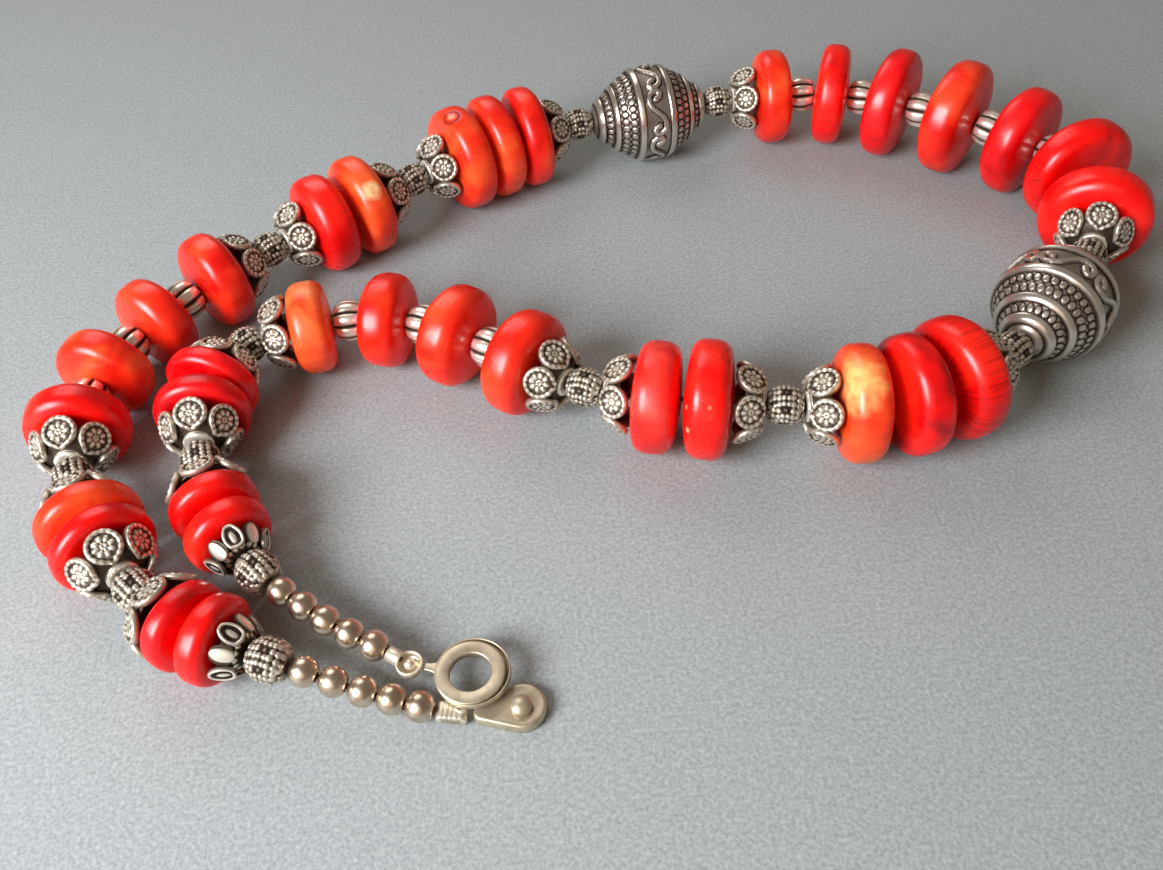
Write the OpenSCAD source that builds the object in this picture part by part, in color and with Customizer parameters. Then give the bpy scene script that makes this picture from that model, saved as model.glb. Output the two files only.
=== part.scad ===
// Coral disc necklace: dyed coral discs on a thread, with antique silver caps, spacers and two
// large silver beads between them, closed by a snap clasp. It lies unfastened in a loop.
// Lengths are in millimetres. X runs across the loop, Y away from the clasp's side, Z up.
// The origin is the middle of the outline, on the table that the discs stand on.

/* [Strand] */
// Space left between neighbouring beads where the strand runs straight
bead_gap = 0.14; // [0.12:0.02:0.3]
// Space left between a cap and the disc that it sits on
seat_gap = 0.12; // [0.1:0.02:0.2]
// Radius of the thread
thread_r = 0.35; // [0.25:0.05:0.45]
// Radius of the drilled hole in the metal beads
bore_r = 0.75; // [0.6:0.05:0.9]

/* [Coral discs] */
// Share of a disc's thickness that the radius of its rounded edges takes
rim_share = 0.31; // [0.28:0.01:0.34]
// Share of a disc's thickness that half of the straight wall between the edges takes
wall_share = 0.11; // [0.05:0.01:0.13]
// Radius of the drilled hole in the discs
disc_bore_r = 0.9; // [0.7:0.05:1.1]

/* [Scroll caps] */
// Depth of a scroll cap, from the tips of its petals to its neck
cap_h = 4.45; // [4.3:0.05:4.7]
// Radius of a petal's plate
petal_r = 2.2; // [2:0.1:2.4]
// Distance of a petal's middle from the cap's axis
petal_reach = 4.75; // [4.5:0.05:5]
// Height of a petal's middle over the tips of the petals
petal_z = 2.4; // [2.2:0.05:2.5]
// Angle between a petal and the cap's axis
petal_flare = 26; // [22:1:30]
// Radius at which the petals meet the disc
cap_mouth_r = 5.2; // [5:0.1:5.4]

/* [Lotus caps] */
// Depth of a lotus cap
lotus_h = 3; // [2.9:0.1:3.4]
// Radius at which its petals meet the disc
lotus_mouth_r = 3.6; // [3.5:0.1:4.2]

/* [Silver beads] */
// Diameter of the round beads by the clasp
round_d = 3.9; // [3.6:0.1:4.2]
// Length of a round bead between its flattened ends
round_l = 3.46; // [3.4:0.02:3.6]
// Length of a barrel bead
barrel_l = 5.15; // [5:0.05:5.6]
// Radius of a barrel bead over its end rings
barrel_r = 2.9; // [2.7:0.1:3.1]
// Length of a melon bead
melon_l = 4.6; // [4.4:0.1:5]
// Radius of a melon bead over its ribs
melon_r = 3.25; // [3:0.05:3.5]
// Number of ribs on a melon bead
melon_ribs = 8; // [7:1:10]
// Length of a large bead
big_l = 22; // [20:0.5:24]
// Number of raised scrolls round a large bead
big_scrolls = 6; // [5:1:7]

/* [Clasp] */
// Radius of the clasp's ring over its turned-up rim
ring_r = 4.7; // [4.5:0.05:4.9]
// Radius of the hole in the ring
ring_hole_r = 2.6; // [2.4:0.05:2.8]
// Height of the ring from its lower to its upper face
ring_h = 1.0; // [1:0.1:1.4]
// Thickness of the clasp's sheet metal
sheet = 0.35; // [0.3:0.05:0.45]
// Height of the stud plate over its turned-down edge
plate_h = 1.5; // [1.3:0.05:1.7]

/* [Hidden] */
$fn = 48;
DIAMETER = 0;
THICK = 1;
SWIVEL = 2;

// Coral discs in order along the strand: diameter, thickness and, for the discs that sit askew on the
// thread, the angle that they are turned to the right
discs = [
    [11.8, 5.0], [12.4, 4.6],
    [14.0, 4.6], [14.2, 4.3],
    [14.8, 7.0], [15.0, 7.4, 3], [16.0, 7.5], [16.4, 7.8],
    [16.6, 7.2], [17.6, 7.4],
    [17.2, 7.2], [17.8, 6.3], [18.4, 7.1],
    [17.8, 8.0], [18.8, 7.1], [18.8, 7.2, 5], [20.2, 7.8, 7], [19.4, 6.6], [18.2, 6.4], [17.4, 6.8],
    [18.2, 6.2], [18.4, 6.2], [18.8, 7.0],
    [17.4, 6.8], [17.0, 7.8],
    [16.0, 7.2], [14.8, 7.2], [14.8, 7.0], [15.0, 6.3],
    [14.2, 4.7], [13.8, 4.4],
    [12.2, 4.1], [12.0, 4.7]
];

// Straight units of the strand from the clasp to the middle. Each letter is a bead: R round, B barrel,
// L lotus cap, D coral disc, C scroll cap, M melon, G large bead. The strand bends between units.
end_units = [
    "R", "R", "R", "R", "R", "B", "LD", "DC", "B", "CD", "DC", "B",
    "CD", "M", "D", "M", "D", "M", "DC", "B", "CD", "DC", "B",
    "CD", "D", "DC", "B", "G", "B"
];
middle_units = ["CD", "M", "D", "M", "D", "M", "D", "M", "D", "M", "D", "M", "DC"];
function reversed(text) = len(text) == 1 ? text : str(text[1], text[0]);
units = concat(
    end_units,
    middle_units,
    [for (i = [len(end_units) - 1 : -1 : 0]) reversed(end_units[i])]
);
last = len(units) - 1;

// Points that the strand passes over, from the ring's end to the stud's end
route = [
    [-35, -55.5], [-43, -51], [-54, -42], [-62, -28], [-64.2, -17.5], [-63.9, -7.5], [-59, -0.5],
    [-48, 2], [-36, 1.5], [-21, -7.5], [-8, -17], [9, -21.5], [29, -24.5], [44, -21.5], [57, -14],
    [71, 1.5], [78, 13.5], [79.5, 25], [73, 36], [59, 46.5], [44, 56], [27, 57.5], [6, 54.5],
    [-14, 49.5], [-32, 40], [-48, 29], [-64, 17.5], [-77, 3.5], [-82, -9.5], [-81.5, -23.5],
    [-74.5, -37], [-64, -49], [-50, -56.5], [-38, -60.5], [-26, -64]
];
route_steps = 8;
// Shift of the whole strand that puts the middle of its outline at the origin
centring = [0.69, -0.1];

// Smooth curve through the route's points
function point(i) = route[max(0, min(len(route) - 1, i))] + centring;
function curve(i, t) =
    0.5 * (2 * point(i)
        + t * (point(i + 1) - point(i - 1))
        + t * t * (2 * point(i - 1) - 5 * point(i) + 4 * point(i + 1) - point(i + 2))
        + t * t * t * (3 * point(i) - point(i - 1) - 3 * point(i + 1) + point(i + 2)));
track = [
    for (i = [0 : len(route) - 2], k = [0 : route_steps - (i < len(route) - 2 ? 1 : 0)])
        curve(i, k / route_steps)
];
function run_lengths(i = 0, sum = 0) =
    i == len(track) - 1 ? [sum]
        : concat([sum], run_lengths(i + 1, sum + norm(track[i + 1] - track[i])));
run = run_lengths();
track_x = [for (i = [0 : len(track) - 1]) [run[i], track[i][0]]];
track_y = [for (i = [0 : len(track) - 1]) [run[i], track[i][1]]];
function track_at(s) = [lookup(s, track_x), lookup(s, track_y)];
function heading(a, b) =
    let (d = track_at(b) - track_at(a))
        atan2(d[1], d[0]);
function turn(a, b) = abs((b - a + 540) % 360 - 180);

// Shape of disc k: two domes that run on into rounded edges, with a straight wall between them
function disc_r(k) = discs[k][DIAMETER] / 2;
function disc_t(k) = discs[k][THICK];
function disc_swivel(k) = len(discs[k]) > SWIVEL ? discs[k][SWIVEL] : 0;
function rim_r(k) = rim_share * disc_t(k);
function half_wall(k) = wall_share * disc_t(k);
function edge_reach(k) = disc_r(k) - rim_r(k);
function dome_r(k) =
    let (crown = disc_t(k) / 2 - half_wall(k))
        (pow(edge_reach(k), 2) + pow(crown, 2) - pow(rim_r(k), 2)) / (crown - rim_r(k)) / 2;
function dome_reach(k) = edge_reach(k) * dome_r(k) / (dome_r(k) - rim_r(k));
function dome_drop(k, r) = dome_r(k) - sqrt(pow(dome_r(k), 2) - r * r);
function cap_reach(k) = cap_h - dome_drop(k, cap_mouth_r) + seat_gap;
function lotus_reach(k) = lotus_h - dome_drop(k, lotus_mouth_r) + seat_gap;

// Number of discs before unit i, and the disc that a cap in unit i sits on
function count_discs(i) = len([for (j = [0 : 1 : i - 1]) for (c = units[j]) if (c == "D") 1]);
disc_of = [for (i = [0 : last]) count_discs(i)];
function has(i, letter) = len([for (c = units[i]) if (c == letter) 1]) > 0;
function letter_length(letter, k) =
    letter == "R" ? round_l
        : letter == "B" ? barrel_l
        : letter == "M" ? melon_l
        : letter == "G" ? big_l
        : letter == "C" ? cap_reach(k)
        : letter == "L" ? lotus_reach(k)
        : disc_t(k);
function unit_length(i) =
    letter_length(units[i][0], disc_of[i])
        + (len(units[i]) > 1 ? letter_length(units[i][1], disc_of[i]) : 0);

// Radius of the dome that each kind of bead has at its ends
END_DOME = 3.5;
MELON_DOME = 4.5;
BIG_DOME = 6;
function end_dome(letter, k) =
    letter == "D" ? dome_r(k)
        : letter == "M" ? MELON_DOME
        : letter == "G" ? BIG_DOME
        : END_DOME;

// The gap opens with the bend, because two domed ends roll on each other
function rolled(a, b, bend) = bend * bend * a * b / (a + b) / 2;
function gap_after(i, s) =
    let (
        end = s + unit_length(i),
        next = end + 3 * bead_gap,
        bend = turn(heading(s, end), heading(next, next + unit_length(i + 1))) * PI / 180,
        a = units[i][len(units[i]) - 1],
        b = units[i + 1][0]
    )
        bead_gap
            + (a == "R" || b == "R"
                ? 0.9 * bend
                : rolled(end_dome(a, disc_of[i]), end_dome(b, disc_of[i + 1]), bend));
function unit_starts(i = 0, s = 0) =
    i == last ? [s] : concat([s], unit_starts(i + 1, s + unit_length(i) + gap_after(i, s)));
starts = unit_starts();
function unit_end(i) = starts[i] + unit_length(i);

// Height of the strand's axis: each disc stands on the table, the discs on either side lift the ends
// of a large bead a little, and the strand's ends sink to the clasp
BIG_R = 8.7;
RING_END_Z = 3.5;
STUD_END_Z = 2.0;
function stand_z(i, k) = has(i, "D") ? disc_r(disc_of[i]) : BIG_R + 0.4 * (disc_r(k) - BIG_R);
axis_heights = concat(
    [[0, RING_END_Z], [starts[5], 5.6]],
    [
        for (i = [0 : last])
            if (has(i, "D") || has(i, "G"))
                for (side = [0, 1])
                    [starts[i] + side * unit_length(i), stand_z(i, disc_of[i] - 1 + side)]
    ],
    [[unit_end(last - 5), 5.6], [unit_end(last) - 8, STUD_END_Z + 0.8], [unit_end(last), STUD_END_Z]]
);
function axis_z(s) = lookup(s, axis_heights);
function axis_at(s) = concat(track_at(s), [axis_z(s)]);

// Puts children on the axis at length s along unit i, with +Z along the strand, or against it
module along(i, s, back = false) {
    a = axis_at(starts[i]);
    b = axis_at(unit_end(i));
    way = (b - a) / norm(b - a);
    translate(a + way * (s - starts[i]))
        rotate([0, 0, atan2(way[1], way[0])])
            rotate([0, 90 - asin(way[2]), 0])
                rotate([back ? 180 : 0, 0, 0])
                    children();
}

// Puts children at the middle of every bead of one letter
module at_each(letter) {
    for (i = [0 : last])
        if (units[i] == letter)
            along(i, starts[i] + unit_length(i) / 2)
                children();
}

// Puts children at the neck of every cap of one letter, with +Z from the disc to the neck
module at_each_cap(letter) {
    for (i = [0 : last])
        if (has(i, letter)) {
            before = units[i][0] == letter;
            along(i, before ? starts[i] : unit_end(i), before)
                children();
        }
}

// Coral disc k, drilled through
module coral(k) {
    i = [for (j = [0 : last]) if (has(j, "D") && disc_of[j] == k) j][0];
    first = units[i][0] == "D";
    t = disc_t(k);
    color(k % 3 == 1 ? "orangered" : "red")
        along(i, first ? starts[i] + t / 2 : unit_end(i) - t / 2)
            rotate([disc_swivel(k), 0, 0])
                rotate_extrude($fn = 96)
                    difference() {
                        union() {
                            intersection() {
                                translate([0, t / 2 - dome_r(k)])
                                    circle(dome_r(k));
                                translate([0, dome_r(k) - t / 2])
                                    circle(dome_r(k));
                                translate([0, -t])
                                    square([dome_reach(k), 2 * t]);
                            }
                            for (side = [-1, 1])
                                translate([edge_reach(k), side * half_wall(k)])
                                    circle(rim_r(k));
                            translate([edge_reach(k), -half_wall(k)])
                                square([rim_r(k), 2 * half_wall(k)]);
                        }
                        translate([-1, -t])
                            square([disc_bore_r + 1, 2 * t]);
                    }
}

// One petal: a round plate with a raised rim
PETAL_SHEET = 0.6;
PETAL_RIM = 0.3;
module petal() {
    translate([0, 0, -PETAL_SHEET])
        cylinder(r = petal_r, h = PETAL_SHEET);
    rotate_extrude()
        translate([petal_r - 0.4 * PETAL_RIM, 0])
            circle(PETAL_RIM);
}

// Everything inside the domes that both ends of a bead of length l have
module domed_ends(l, dome) {
    intersection() {
        translate([0, 0, l / 2 - dome])
            sphere(dome, $fn = 96);
        translate([0, 0, dome - l / 2])
            sphere(dome, $fn = 96);
    }
}

// Scroll cap with its neck's end at the origin and its petals below
module scroll_cap() {
    rotate_extrude()
        union() {
            polygon([
                [bore_r, -0.08], [1.5, -0.34], [2.1, -0.7], [2.3, -1.0], [3.5, -1.35], [4.6, -2.65],
                [4.0, -2.85], [2.9, -1.85], [bore_r, -1.5]
            ]);
            translate([2.2, -0.95])
                circle(0.32);
        }
    for (a = [0 : 60 : 300])
        rotate([0, 0, a])
            translate([petal_reach, 0, petal_z - cap_h])
                rotate([0, 90 - petal_flare, 0])
                    petal();
}

// Lotus cap with its neck's end at the origin: eight petals, pointed and round in turn
LOTUS_REACH = 3.75;
LOTUS_TILT = 63;
module lotus_cap() {
    rotate_extrude()
        polygon([
            [bore_r, -0.1], [1.4, -0.35], [2.6, -1.2], [3.7, -2.1], [3.2, -2.3], [2.2, -1.6],
            [bore_r, -1.2]
        ]);
    for (a = [0 : 45 : 315])
        rotate([0, 0, a])
            translate([LOTUS_REACH, 0, 1.75 - lotus_h])
                rotate([0, LOTUS_TILT, 0]) {
                    translate([0, 0, -0.55])
                        linear_extrude(a % 90 == 0 ? 0.6 : 0.4)
                            intersection() {
                                translate([0, 1.1])
                                    circle(2.4);
                                translate([0, -1.1])
                                    circle(2.4);
                                translate([0.2, 0])
                                    circle(a % 90 == 0 ? 1.7 : 1.55);
                            }
                    if (a % 90 == 0)
                        rotate_extrude()
                            translate([0.75, 0])
                                circle(0.2);
                }
    rotate_extrude()
        translate([2.0, -1.0])
            circle(0.35);
}

// Barrel bead along Z: two raised rings on each side of a plain waist
BARREL_RINGS = [-1.55, -0.8, 0.8, 1.55];
BARREL_RING_R = 0.36;
module barrel() {
    difference() {
        union() {
            intersection() {
                cylinder(r = barrel_r - BARREL_RING_R, h = barrel_l, center = true);
                domed_ends(barrel_l, END_DOME);
            }
            for (z = BARREL_RINGS)
                rotate_extrude()
                    translate([barrel_r - BARREL_RING_R, z])
                        circle(BARREL_RING_R);
        }
        cylinder(r = bore_r, h = barrel_l + 2, center = true);
    }
}

// Melon bead along Z: a ring of ribs, trimmed to a ball with domed ends
MELON_RIB_R = 1.05;
module melon() {
    difference() {
        intersection() {
            linear_extrude(melon_l, center = true) {
                circle(melon_r - 0.7 * MELON_RIB_R);
                for (k = [0 : melon_ribs - 1])
                    rotate([0, 0, k * 360 / melon_ribs])
                        translate([melon_r - MELON_RIB_R, 0])
                            circle(MELON_RIB_R);
            }
            domed_ends(melon_l, MELON_DOME);
        }
        cylinder(r = bore_r, h = melon_l + 2, center = true);
    }
}

// Round bead along Z with flattened, drilled ends
module round_bead() {
    difference() {
        intersection() {
            sphere(round_d / 2);
            cylinder(r = round_d, h = round_l, center = true);
        }
        cylinder(r = bore_r, h = round_l + 2, center = true);
    }
}

// Half of a large bead's outline: distance from its middle, radius
big_outline = [
    [2.2, 8.15], [2.2, 8.3], [3.7, 7.95], [5.2, 7.25], [6.6, 6.25], [7.8, 5.2], [9.0, 4.1],
    [10.0, 3.1], [10.5, 2.4], [11, 1.4]
];
// Raised rings on each half of a large bead: distance from its middle, radius, size
big_rings = [[2.9, 8.0, 0.7], [7.1, 5.85, 0.5], [9.6, 3.4, 0.55]];

// Outline of one raised scroll on a large bead, drawn flat: a stem with a hook at each end
SCROLL_LINE = 0.9;
SCROLL_H = 3.6;
SCROLL_HOOK = 3.7;
module scroll_shape() {
    for (side = [0, 180])
        rotate([0, 0, side]) {
            translate([-SCROLL_LINE / 2, -SCROLL_H / 2])
                square([SCROLL_LINE, SCROLL_H]);
            translate([-SCROLL_LINE / 2, SCROLL_H / 2 - SCROLL_LINE])
                square([SCROLL_HOOK, SCROLL_LINE]);
            translate([SCROLL_HOOK - 1.5 * SCROLL_LINE, 0.1])
                square([SCROLL_LINE, 0.4 * SCROLL_H]);
        }
}

// Large bead along Z
module big_bead() {
    difference() {
        union() {
            rotate_extrude($fn = 96)
                polygon(concat(
                    [[0, big_l / 2]],
                    [for (k = [len(big_outline) - 1 : -1 : 0]) [big_outline[k][1], big_outline[k][0]]],
                    [for (row = big_outline) [row[1], -row[0]]],
                    [[0, -big_l / 2]]
                ));
            for (row = big_rings, side = [-1, 1])
                rotate_extrude($fn = 96)
                    translate([row[1], side * row[0]])
                        circle(row[2]);
            intersection() {
                cylinder(r = BIG_R - 0.05, h = SCROLL_H + 0.4, center = true, $fn = 96);
                for (k = [0 : big_scrolls - 1])
                    rotate([0, 0, k * 360 / big_scrolls])
                        translate([7, 0, 0])
                            rotate([90, 0, 90])
                                linear_extrude(3)
                                    scroll_shape();
            }
        }
        cylinder(r = bore_r, h = big_l + 2, center = true);
    }
}
module large_bead(number) {
    i = [for (j = [0 : last]) if (units[j] == "G") j][number];
    color("darkgray")
        along(i, starts[i] + big_l / 2)
            big_bead();
}

module scroll_caps() {
    color("silver")
        at_each_cap("C")
            scroll_cap();
}
module lotus_caps() {
    color("silver")
        at_each_cap("L")
            lotus_cap();
}
module barrel_beads() {
    color("darkgray")
        at_each("B")
            barrel();
}
module melon_beads() {
    color("darkgray")
        at_each("M")
            melon();
}
module round_beads() {
    color("gainsboro")
        at_each("R")
            round_bead();
}

// Places of the clasp's parts
ring_at = [-23.6, -59.1, 2.4];
tip_at = [-31.4, -57.5, 3.2];
plate_at = [-17.8, -63.1, 0];
plate_neck = [-22.7, -63.7, 0];
stud_at = [-17.9, -63.4, 0];

// Ring half of the clasp: a dish and a flat cover, joined by the wall of the hole, and a tongue
TIP_R = 1.75;
RIM_WALL = 0.25;
cover_shift = [-0.3, -0.1, 0];
module clasp_ring() {
    d = tip_at - ring_at;
    reach = norm([d[0], d[1]]) - TIP_R - 0.12;
    color("tan")
        translate(ring_at)
            difference() {
                union() {
                    cylinder(r = ring_r, h = sheet);
                    difference() {
                        cylinder(r = ring_r, h = ring_h - 0.1);
                        translate([0, 0, -1])
                            cylinder(r = ring_r - RIM_WALL, h = ring_h + 2);
                    }
                    translate(cover_shift + [0, 0, ring_h - sheet])
                        cylinder(r = ring_r - 0.35, h = sheet);
                    translate(cover_shift)
                        cylinder(r = ring_hole_r + 0.4, h = ring_h);
                    rotate([0, 0, atan2(d[1], d[0])])
                        translate([0, 0, 0.1])
                            linear_extrude(ring_h - 0.2)
                                polygon([
                                    [3.9, -1.1], [4.9, -0.65], [5.5, -0.5], [reach, -0.5],
                                    [reach, 0.5], [5.5, 0.5], [4.9, 0.65], [3.9, 1.1]
                                ]);
                }
                translate(cover_shift + [0, 0, -1])
                    cylinder(r = ring_hole_r, h = ring_h + 2);
            }
}

// Bead tip: a shallow cup that holds the end bead, with a collar towards the round beads
TIP_WALL = 0.35;
END_BEAD_R = 0.75;
module bead_tip() {
    d = axis_at(0) - tip_at;
    reach = norm([d[0], d[1]]) - 0.2;
    color("tan")
        translate(tip_at)
            difference() {
                union() {
                    intersection() {
                        sphere(TIP_R);
                        translate([0, 0, -0.3])
                            cylinder(r = TIP_R + 1, h = 1.4, center = true);
                    }
                    rotate([0, 90, atan2(d[1], d[0])])
                        cylinder(r = 1.0, h = reach);
                }
                difference() {
                    translate([0, 0, -0.5])
                        cylinder(r = TIP_R - TIP_WALL, h = 3);
                    translate([0, 0, -0.1])
                        sphere(END_BEAD_R);
                }
                rotate([0, 90, atan2(d[1], d[0])])
                    translate([0, 0, 1])
                        cylinder(r = 2 * thread_r, h = 6);
            }
}

// Ribs of the folded crimp: distance from the strand's end, height of the middle, radius
crimp_ribs = [
    [0.9, 1.5, 0.75], [1.45, 1.45, 0.8], [2, 1.35, 0.85], [2.55, 1.25, 0.9], [3.05, 1.15, 0.9]
];
strand_end = axis_at(unit_end(last));
crimp_way = atan2(plate_neck[1] - strand_end[1], plate_neck[0] - strand_end[0]);

// Folded crimp: ribs round the strand's end, with a small eye towards the stud plate
module folded_crimp() {
    color("tan")
        translate([strand_end[0], strand_end[1], 0])
            rotate([0, 0, crimp_way])
                difference() {
                    union() {
                        for (row = crimp_ribs)
                            translate([row[0], 0, row[1]])
                                rotate([90, 0, 0])
                                    cylinder(r = row[2], h = 2.4, center = true);
                        translate([0.7, -1, 0.8])
                            cube([2.2, 2, 0.9]);
                        translate([3.2, 0.3, 0.8])
                            cylinder(r = 0.75, h = 1.4);
                    }
                    translate([3.2, 0.3, 0])
                        cylinder(r = 0.32, h = 3);
                    translate([-0.3, 0, STUD_END_Z + 0.1])
                        rotate([0, 110, 0])
                            cylinder(r = 0.5, h = 1.7);
                }
}

// Flat outline of the stud plate, made smaller by inset
module plate_outline(inset) {
    big = 3 - inset;
    small = 1 - inset;
    d = plate_neck - plate_at;
    reach = norm(d);
    a = acos((big - small) / reach);
    rotate([0, 0, atan2(d[1], d[0])]) {
        circle(big);
        translate([reach, 0])
            circle(small);
        polygon([
            [big * cos(a), big * sin(a)], [reach + small * cos(a), small * sin(a)],
            [reach + small * cos(a), -small * sin(a)], [big * cos(a), -big * sin(a)], [0, 0]
        ]);
    }
}

// Stud half of the clasp: a drop-shaped plate with its edge turned down, and a low domed stud
STUD_R = 1.45;
STUD_DOME = 1.8;
STUD_SINK = 0.5;
module stud_plate() {
    color("tan") {
        difference() {
            translate(plate_at)
                linear_extrude(plate_h)
                    plate_outline(0);
            translate(plate_at + [0, 0, -1])
                linear_extrude(plate_h - sheet + 1)
                    plate_outline(0.4);
        }
        intersection() {
            translate(stud_at + [0, 0, plate_h - sheet / 2])
                cylinder(r = STUD_R, h = 2);
            translate(stud_at + [0, 0, plate_h - STUD_SINK])
                sphere(STUD_DOME);
        }
    }
}

// Thread through every bead: a tube along the joints between the units
thread_sides = 8;
joints = concat(
    [0.35 * axis_at(0) + 0.65 * tip_at, axis_at(0)],
    [for (i = [0 : last - 1]) (axis_at(unit_end(i)) + axis_at(starts[i + 1])) / 2],
    [strand_end, strand_end + [0.8 * cos(crimp_way), 0.8 * sin(crimp_way), -0.3]]
);
module thread() {
    n = len(joints);
    rings = [
        for (i = [0 : n - 1])
            let (
                way = joints[min(n - 1, i + 1)] - joints[max(0, i - 1)],
                side = [-way[1], way[0], 0] / norm([way[0], way[1]]),
                up = cross(side, way) / norm(cross(side, way))
            )
                for (k = [0 : thread_sides - 1])
                    joints[i] + thread_r
                        * (cos(360 * k / thread_sides) * side - sin(360 * k / thread_sides) * up)
    ];
    walls = [
        for (i = [0 : n - 2], k = [0 : thread_sides - 1])
            let (m = (k + 1) % thread_sides)
                for (face = [
                    [i * thread_sides + k, (i + 1) * thread_sides + k, (i + 1) * thread_sides + m],
                    [i * thread_sides + k, (i + 1) * thread_sides + m, i * thread_sides + m]
                ])
                    face
    ];
    ends = [
        [for (k = [0 : thread_sides - 1]) k],
        [for (k = [thread_sides - 1 : -1 : 0]) (n - 1) * thread_sides + k]
    ];
    color("saddlebrown")
        polyhedron(points = rings, faces = concat(walls, ends));
}

function coral_name(k) = str("coral_", k < 9 ? "0" : "", k + 1);
CORALS = [for (k = [0 : len(discs) - 1]) coral_name(k)];

for (k = [0 : len(discs) - 1])
    coral(k);
large_bead(0);  // large_bead_1
large_bead(1);  // large_bead_2
scroll_caps();
lotus_caps();
barrel_beads();
melon_beads();
round_beads();
thread();
bead_tip();
folded_crimp();
clasp_ring();
stud_plate();
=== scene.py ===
# Coral disc necklace: dyed coral discs with antique silver beads and caps, lying on cloth.
# Shapes are worked in millimetres in each bead's own frame and scaled to metres when placed.
import bisect
import functools
from math import acos, asin, atan2, cos, hypot, pi, radians, sin, sqrt

import bmesh
import bpy
from mathutils import Matrix, Vector, noise


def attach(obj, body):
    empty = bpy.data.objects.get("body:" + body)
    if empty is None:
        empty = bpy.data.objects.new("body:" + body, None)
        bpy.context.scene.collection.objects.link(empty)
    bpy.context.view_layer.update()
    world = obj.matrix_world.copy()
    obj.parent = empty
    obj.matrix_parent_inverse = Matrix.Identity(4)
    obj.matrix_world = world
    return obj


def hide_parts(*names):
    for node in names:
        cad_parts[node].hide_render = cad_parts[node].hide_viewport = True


mm = 0.001
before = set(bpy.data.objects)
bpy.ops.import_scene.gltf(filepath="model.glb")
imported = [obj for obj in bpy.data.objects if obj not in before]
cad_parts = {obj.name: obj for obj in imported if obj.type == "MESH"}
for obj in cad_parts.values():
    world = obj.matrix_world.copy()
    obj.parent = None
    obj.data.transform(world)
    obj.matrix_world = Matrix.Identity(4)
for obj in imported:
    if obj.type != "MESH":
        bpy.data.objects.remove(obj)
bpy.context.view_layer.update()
scene = bpy.context.scene
print("frame loaded")

# Camera: where the photograph was taken from, worked out from the strand's perspective
camera = {
    "pictureWidth": 1163,  # pixels
    "focalLength": 1050,  # in the same pixels
    "pitch": 48,  # degrees below the horizon
    "roll": 4,  # degrees
    "place": (-8.35, -124.1, 117),  # mm
}
cameraData = bpy.data.cameras.new("camera")
cameraData.sensor_width = 36
cameraData.lens = 36 * camera["focalLength"] / camera["pictureWidth"]
cameraData.clip_start = 0.005
cameraObject = bpy.data.objects.new("camera", cameraData)
cameraObject.matrix_world = (
    Matrix.Translation(Vector(camera["place"]) * mm)
    @ Matrix.Rotation(radians(90 - camera["pitch"]), 4, "X")
    @ Matrix.Rotation(radians(-camera["roll"]), 4, "Z")
)
scene.collection.objects.link(cameraObject)
scene.camera = cameraObject

# The strand: the same route, discs and units as the solid model, in mm
strand = {
    "beadGap": 0.14,  # mm between neighbours
    "seatGap": 0.12,  # between a cap and its disc
    "capMouth": 5.2,  # radius at which a cap sits on its disc
    "lotusMouth": 3.6,
    "centring": (0.69, -0.1),  # shift that centres the loop
    "routeSteps": 8,
    # heights of the axis at both ends and at the last barrels
    "ringEndHeight": 3.5,
    "studEndHeight": 2.0,
    "lastBarrelHeight": 5.6,
    "studRise": (8, 0.8),  # so far before the stud's end the axis is so much higher
    "roundOpening": 0.9,  # gap that a bend opens beside a round bead, for each radian
    "discPull": 0.4,  # share of a disc's height that its neighbours follow
}
route = [
    (-35, -55.5), (-43, -51), (-54, -42), (-62, -28), (-64.2, -17.5), (-63.9, -7.5), (-59, -0.5),
    (-48, 2), (-36, 1.5), (-21, -7.5), (-8, -17), (9, -21.5), (29, -24.5), (44, -21.5), (57, -14),
    (71, 1.5), (78, 13.5), (79.5, 25), (73, 36), (59, 46.5), (44, 56), (27, 57.5), (6, 54.5),
    (-14, 49.5), (-32, 40), (-48, 29), (-64, 17.5), (-77, 3.5), (-82, -9.5), (-81.5, -23.5),
    (-74.5, -37), (-64, -49), (-50, -56.5), (-38, -60.5), (-26, -64),
]
# diameter and thickness of each disc in order
discs = [
    (11.8, 5.0), (12.4, 4.6), (14.0, 4.6), (14.2, 4.3), (14.8, 7.0), (15.0, 7.4), (16.0, 7.5),
    (16.4, 7.8), (16.6, 7.2), (17.6, 7.4), (17.2, 7.2), (17.8, 6.3), (18.4, 7.1), (17.8, 8.0),
    (18.8, 7.1), (18.8, 7.2), (20.2, 7.8), (19.4, 6.6), (18.2, 6.4), (17.4, 6.8), (18.2, 6.2),
    (18.4, 6.2), (18.8, 7.0), (17.4, 6.8), (17.0, 7.8), (16.0, 7.2), (14.8, 7.2), (14.8, 7.0),
    (15.0, 6.3), (14.2, 4.7), (13.8, 4.4), (12.2, 4.1), (12.0, 4.7),
]
discSwivels = {6: 3, 16: 5, 17: 7}  # degrees that a disc sits askew, turned to the right
# R round, B barrel, L lotus cap, D coral disc, C scroll cap, M melon, G large bead
endUnits = "R R R R R B LD DC B CD DC B CD M D M D M DC B CD DC B CD D DC B G B".split()
middleUnits = "CD M D M D M D M D M D M DC".split()
units = endUnits + middleUnits + [u[::-1] for u in reversed(endUnits)]
lengths = {"R": 3.46, "B": 5.15, "M": 4.6, "G": 22, "C": 4.45, "L": 3.0}
domes = {"M": 4.5, "G": 6}  # radius of a bead's domed end
otherDome = 3.5
# shares of a disc's thickness: radius of its edges, half of the wall between them
edgeShare = 0.31
wallShare = 0.11
bigRadius = 8.7

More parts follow.
